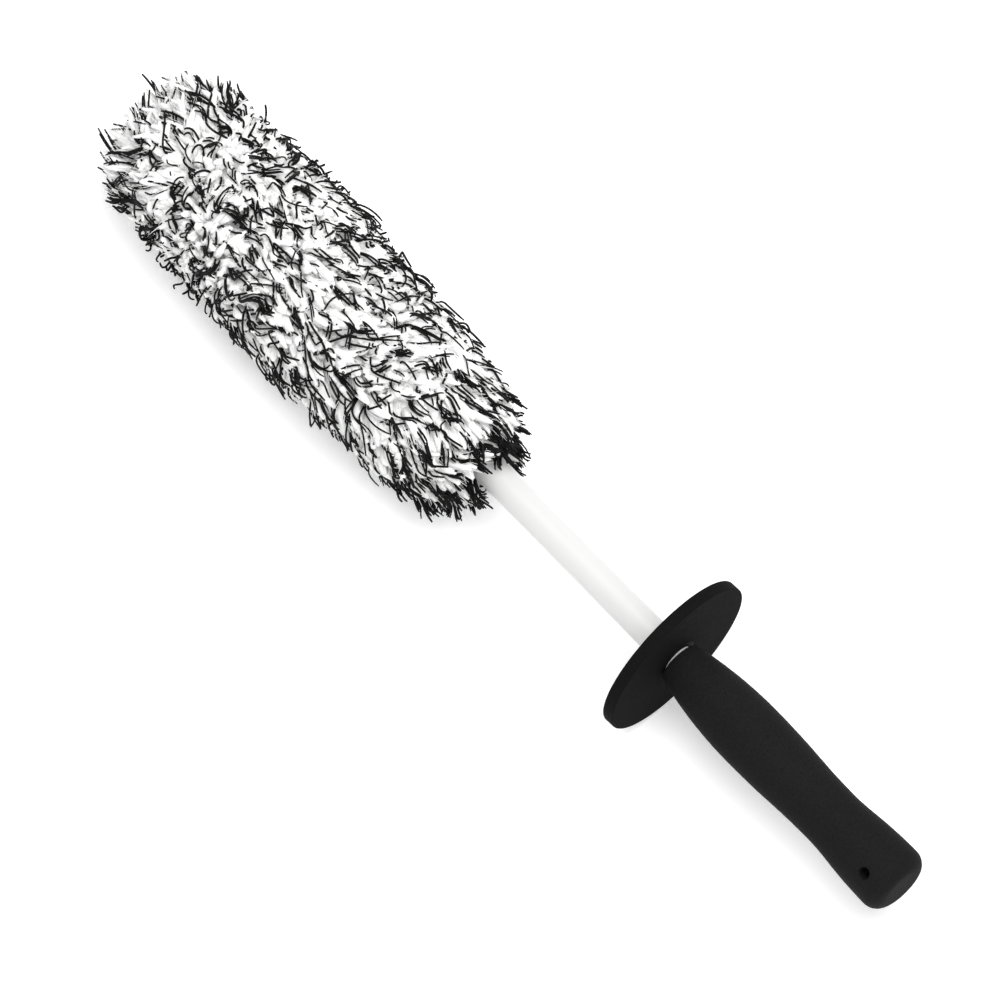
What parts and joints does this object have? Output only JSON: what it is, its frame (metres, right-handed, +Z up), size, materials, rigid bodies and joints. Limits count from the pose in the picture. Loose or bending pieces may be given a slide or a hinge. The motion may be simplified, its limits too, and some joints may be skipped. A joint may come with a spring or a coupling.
{
  "type": "wheel brush",
  "caption": "Hand wheel brush: soft two-tone pile sleeve over a foam core, plastic tube shaft, round hand guard and contoured foam grip with a hang hole.",
  "frame": {"origin": "under the middle of the brush's bounding box, on the surface that the brush lies on", "axes": "+X along the shaft from the soft head towards the butt of the grip, +Z up from the surface"},
  "size_m": [0.457, 0.077, 0.076],
  "materials": {
    "shaft_plastic": "satin",
    "plug_plastic": "matte",
    "grip_foam": "matte",
    "core_foam": "matte",
    "knit_backing": "matte",
    "seam_thread": "matte",
    "binding_tape": "matte",
    "elastic_rubber": "matte",
    "pile_white": "matte",
    "pile_black": "matte",
    "grommet_rubber": "matte",
    "guard_rubber": "matte"
  },
  "bodies": {
    "handle": {"shaft_tube": "shaft_plastic", "shaft_tip_plug": "plug_plastic", "shaft_butt_plug": "plug_plastic", "grip": "grip_foam", "core_sleeve": "core_foam", "core_tip_pad": "core_foam", "core_stop_collar": "plug_plastic"},
    "cover": {"cover_backing": "knit_backing", "cover_side_seam": "seam_thread", "cover_tip_seam": "seam_thread", "cover_tip_panel": "knit_backing", "cover_neck": "knit_backing", "cover_mouth_hem": "binding_tape", "cover_elastic": "elastic_rubber", "pile_tip": "pile_white", "pile_body": "pile_white", "pile_skirt": "pile_black"},
    "guard_seat": {"guard_grommet": "grommet_rubber"},
    "guard": {"guard_disc": "guard_rubber"}
  },
  "joints": [
    {"name": "cover_slide", "type": "slide", "parent": "handle", "child": "cover", "axis": [-1, 0, 0], "range_m": [0, 0.2], "deforming": ["cover_neck", "cover_mouth_hem", "cover_elastic", "pile_skirt"]},
    {"name": "guard_slide", "type": "slide", "parent": "handle", "child": "guard_seat", "axis": [-1, 0, 0], "range_m": [-0.0005, 0.094]},
    {"name": "guard_spin", "type": "hinge", "parent": "guard_seat", "child": "guard", "pos_m": [0.0892, 0, 0.0375], "axis": [0.9987, 0.0506, 0.0009], "continuous": true}
  ]
}
